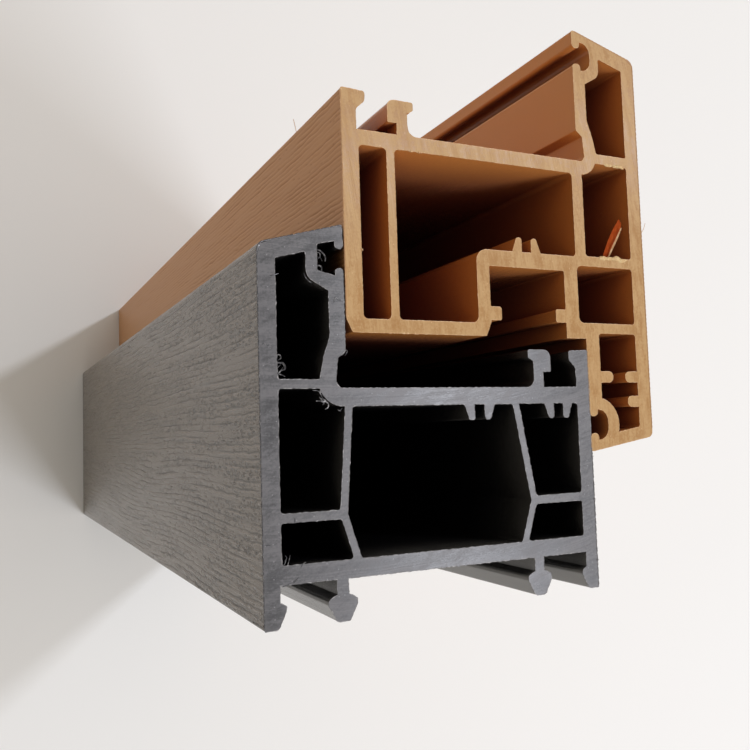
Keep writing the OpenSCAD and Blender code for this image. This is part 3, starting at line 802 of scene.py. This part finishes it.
# Points of each shaving, then its width, thickness and lean
FRAME_SHAVINGS = [
    (
        [(9.2, 55.4, -0.4), (9.8, 55.5, -0.2), (10.5, 54.9, 0.0), (10.75, 54.3, 0.1), (10.77, 53.8, -0.1)],
        0.2, 0.05, 0.6,
    ),
    ([(9.2, 55.0, -0.5), (9.9, 55.1, -0.3), (10.0, 54.5, -0.2), (9.7, 54.2, -0.4)], 0.14, 0.05, -0.5),
    ([(9.3, 54.5, -0.5), (10.1, 54.4, -0.5), (10.4, 53.9, -0.4)], 0.12, 0.05, 0.8),
    ([(9.25, 52.9, -0.3), (9.8, 53.1, -0.1), (10.15, 52.7, 0.0), (10.05, 52.2, -0.1)], 0.16, 0.05, 0.6),
    ([(7.3, 51.8, -0.1), (7.45, 51.3, -0.05), (7.85, 50.75, 0.0), (8.5, 50.35, -0.1)], 0.12, 0.05, 0.2),
    ([(1.8, 51.05, 0.0), (2.5, 51.2, 0.05), (3.3, 51.5, -0.1)], 0.12, 0.05),
    (
        [(12.0, 47.5, 0.02), (12.1, 48.0, 0.05), (12.4, 48.25, 0.07), (12.85, 47.9, 0.05)]
        + [(13.7, 47.75, 0.02)],
        0.08, 0.05,
    ),
    ([(2.6, 39.3, -0.2), (3.1, 39.45, 0.0), (3.35, 39.0, 0.0), (3.0, 38.65, -0.2)], 0.14, 0.05, 0.6),
    ([(2.6, 38.2, -0.2), (3.6, 38.2, 0.0), (3.9, 37.4, 0.05), (3.35, 37.1, -0.1)], 0.3, 0.05, 0.7),
    (
        [(3.7, 37.6, -0.3), (3.2, 37.0, 0.0), (2.85, 36.65, 0.0), (3.4, 36.5, -0.1), (4.0, 36.25, -0.3)],
        0.2, 0.05, -0.7,
    ),
    ([(2.6, 36.9, -0.4), (2.9, 37.6, -0.2), (3.4, 38.0, -0.4)], 0.12, 0.05, 0.9),
    ([(8.2, 34.2, -0.05), (9.0, 34.1, 0.03), (9.4, 33.7, 0.0), (9.7, 33.1, -0.1)], 0.12, 0.05, 0.3),
    (
        [(8.8, 32.6, -0.3), (9.3, 32.6, 0.0), (9.7, 32.5, 0.1), (10.2, 32.5, 0.0), (10.6, 32.2, 0.0)],
        0.22, 0.06, 0.4,
    ),
    ([(10.6, 32.5, -0.2), (10.65, 32.0, 0.0), (10.5, 31.6, 0.05), (10.1, 31.35, -0.1)], 0.16, 0.05, -0.3),
    ([(9.3, 33.2, -0.2), (9.55, 32.8, 0.05), (9.9, 32.3, 0.0), (9.8, 32.0, -0.2)], 0.2, 0.06, 0.2),
    ([(9.7, 33.1, -0.2), (10.0, 32.75, 0.0), (10.35, 32.6, -0.1)], 0.22, 0.06, -0.4),
    ([(12.2, 31.3, -0.2), (12.4, 31.1, 0.0), (12.65, 31.25, 0.0), (12.9, 31.5, -0.1)], 0.12, 0.05, 0.3),
    ([(2.6, 8.9, -0.2), (3.1, 9.1, 0.0), (3.35, 9.8, 0.1)], 0.1, 0.05, 0.4),
    ([(2.7, 8.5, -0.1), (3.5, 8.8, 0.0), (3.8, 9.5, 0.0), (4.0, 10.4, 0.1)], 0.08, 0.05, 0.5),
    ([(3.2, 9.6, -0.1), (3.5, 10.0, 0.0), (3.3, 10.4, 0.05)], 0.07, 0.05),
    ([(5.6, 8.4, 0.0), (5.9, 8.9, 0.05), (6.4, 9.2, 0.1)], 0.08, 0.05),
    ([(4.0, 6.25, 0.0), (4.7, 6.6, 0.06), (5.3, 7.1, 0.03)], 0.12, 0.05),
    ([(2.3, 6.0, 0.02), (3.2, 6.1, 0.03), (4.4, 6.4, 0.02)], 0.12, 0.05),
    ([(4.9, 15.65, 0.03), (4.88, 14.95, 0.03)], 0.1, 0.05),
    ([(0.5, 40.9, 0.01), (0.8, 41.1, 0.02), (1.2, 40.7, 0.02), (1.6, 40.9, 0.01)], 0.14, 0.04),
    ([(1.0, 40.2, 0.01), (1.3, 40.5, 0.02), (1.8, 40.3, 0.01)], 0.12, 0.04),
    ([(0.3, 11.9, 0.01), (0.7, 12.1, 0.02), (1.1, 12.0, 0.01)], 0.12, 0.04),
    ([(13.4, 40.3, 0.0), (13.95, 40.15, 0.05), (13.6, 39.4, -0.1)], 0.12, 0.05, 0.3),
]
SASH_SHAVINGS = [
    ([(66.6, 58.2, -0.7), (67.3, 60.0, -0.2), (68.35, 61.9, 0.0), (69.5, 63.7, -0.2)], 0.34, 0.08, -0.4),
    ([(73.95, 62.8, -0.1), (74.5, 63.8, 0.2), (74.8, 64.9, 0.4)], 0.08, 0.05),
    ([(14.1, 81.3, -20.0), (13.7, 82.6, -19.7), (13.5, 83.6, -19.8)], 0.1, 0.06),
    ([(16.6, 56.0, 0.0), (17.0, 56.1, 0.05), (17.1, 55.8, -0.1)], 0.1, 0.05),
]
SASH_SLIVER = [
    (
        [(65.9, 58.0, -1.0), (66.8, 60.1, -0.6), (68.0, 62.3, -0.4), (69.2, 64.0, -0.6), (70.0, 65.2, -1.0)],
        2.1, 0.08, 0.3,
    ),
]

# Where crumbs lie: from a point to a point, and how many
SASH_CRUST = [((64.4, 57.7), (69.8, 57.2), 11), ((66.5, 75.2), (70.5, 74.8), 5)]
SASH_CRUMBS = [((20.5, 43), (27, 43), 7), ((24, 73), (29, 72.6), 5)]
FRAME_CRUMBS = [((12, 59), (13.6, 59.5), 5), ((9, 34.3), (11, 33.8), 3), ((60, 1.5), (60, 24.5), 16)]


def add_crumbs(name, finish, loops, rows, sizes, flat, inward, seed):
    """Crumbs of melted plastic that cling to a sawn edge, each partly in it."""
    draw = random.Random(seed)
    edge = [at for loop in loops for at in walk(loop, CRUMB_STEP)]
    spots = []
    for (x0, y0), (x1, y1), count in rows:
        for i in range(count):
            share = (i + draw.uniform(0.1, 0.9)) / count
            aim = Vector((x0 + (x1 - x0) * share, y0 + (y1 - y0) * share))
            near = min(edge, key=lambda at: (at - aim).length)
            near = near.lerp(aim, draw.uniform(0, inward))
            size = draw.uniform(*sizes)
            squash = draw.uniform(0.6, 1.0) * (0.4 + 0.6 * flat)
            spots.append((near, size, squash))
    bpy.ops.object.select_all(action="DESELECT")
    made = []
    for at, size, squash in spots:
        bpy.ops.mesh.primitive_ico_sphere_add(subdivisions=2, radius=1)
        lump = bpy.context.object
        made.append(lump)
        for point in lump.data.vertices:
            x, y, z = point.co
            bulge = size * (1 + 0.5 * noise.noise(point.co * 1.7 + Vector((at.x, at.y, seed))))
            high = SAWN_END - CRUMB_SEAT + z * bulge * flat
            point.co = place(at.x + x * bulge, at.y + y * bulge * squash, high)
    finish_piece(join_up(made), name, finish, 60)


def add_saw_marks():
    grey = sawn_edges("frame_profile")
    brown = sawn_edges("sash_profile")
    add_burr("frame_burr", GREY_TORN, grey, 0.85, 3.0)
    add_burr("sash_burr", BROWN_TORN, brown, 0.35, 8.0)
    add_shavings("frame_shavings", GREY_SHAVING, FRAME_SHAVINGS)
    add_shavings("sash_shavings", BROWN_TORN, SASH_SHAVINGS)
    add_shavings("sash_sliver", BROWN_SLIVER_PAINTED_SHADE, SASH_SLIVER)
    add_crumbs("sash_crust", BROWN_CRUMB, brown, SASH_CRUST, (0.5, 1.0), 0.2, 0.6, 5)
    add_crumbs("sash_crumbs", BROWN_TORN, brown, SASH_CRUMBS, (0.15, 0.35), 0.4, 0.0, 6)
    add_crumbs("frame_crumbs", GREY_TORN, grey, FRAME_CRUMBS, (0.12, 0.3), 0.7, 0.0, 9)


add_camera()
add_light()
add_table()
for node, finish in (("frame_profile", GREY_PLASTIC), ("sash_profile", BROWN_PLASTIC)):
    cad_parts[node].data.materials.clear()
    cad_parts[node].data.materials.append(finish)
add_foils()
add_saw_marks()

bpy.context.scene.view_settings.view_transform = "Standard"
